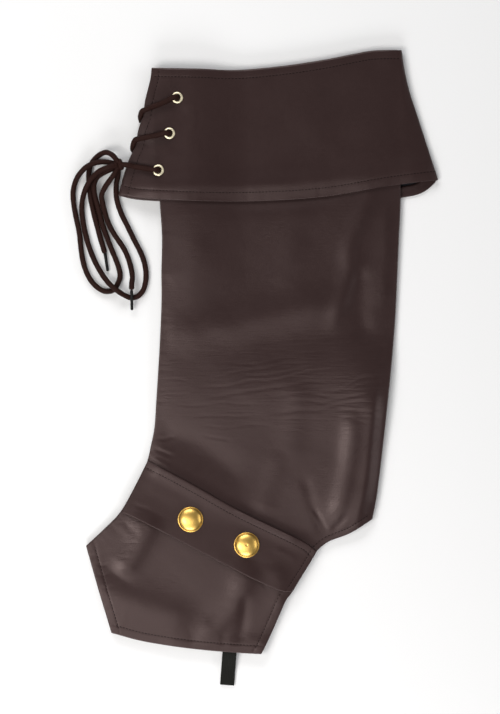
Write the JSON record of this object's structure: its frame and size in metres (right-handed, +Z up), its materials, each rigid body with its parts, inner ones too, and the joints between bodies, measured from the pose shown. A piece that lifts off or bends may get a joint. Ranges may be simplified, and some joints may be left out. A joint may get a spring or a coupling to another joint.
{
  "type": "boot cover",
  "caption": "Costume boot cover of smooth brown faux leather laid flat: turned-down laced cuff, tall shaft, buttoned instep band, shoe flap and under-foot elastic.",
  "frame": {"origin": "middle of the cover as it lies, on the surface it rests on", "axes": "+X towards the heel side, +Y towards the cuff's top edge, +Z up, away from the surface"},
  "size_m": [0.3317, 0.5716, 0.0221],
  "materials": {
    "cover_leather": "smooth coated cloth, semi-gloss, finely creased",
    "cuff_leather": "smooth coated cloth, semi-gloss, darker and flatter than the shaft",
    "gold_metal": "polished gold-coloured dome",
    "eyelet_metal": "pale polished brass",
    "lace_cord": "round braided cotton cord, matt",
    "aglet_plastic": "black shrunk tip",
    "elastic_webbing": "black ribbed elastic"
  },
  "bodies": {
    "root": {"shaft_outer": "cover_leather", "shaft_inner": "cover_leather", "foot_outer": "cover_leather", "foot_inner": "cover_leather", "instep_band": "cover_leather", "cuff_outer": "cuff_leather", "cuff_inner": "cuff_leather", "button_front": "gold_metal", "button_rear": "gold_metal", "eyelet_outer_1": "eyelet_metal", "eyelet_outer_2": "eyelet_metal", "eyelet_outer_3": "eyelet_metal", "eyelet_inner_1": "eyelet_metal", "eyelet_inner_2": "eyelet_metal", "eyelet_inner_3": "eyelet_metal", "lace_turn_1": "lace_cord", "lace_turn_2": "lace_cord", "lace_lead_outer": "lace_cord", "lace_lead_inner": "lace_cord", "lace_knot": "lace_cord", "lace_loop_long": "lace_cord", "lace_loop_short": "lace_cord", "lace_end_left": "lace_cord", "lace_end_right": "lace_cord", "aglet_left": "aglet_plastic", "aglet_right": "aglet_plastic", "stirrup_elastic": "elastic_webbing"}
  },
  "joints": []
}
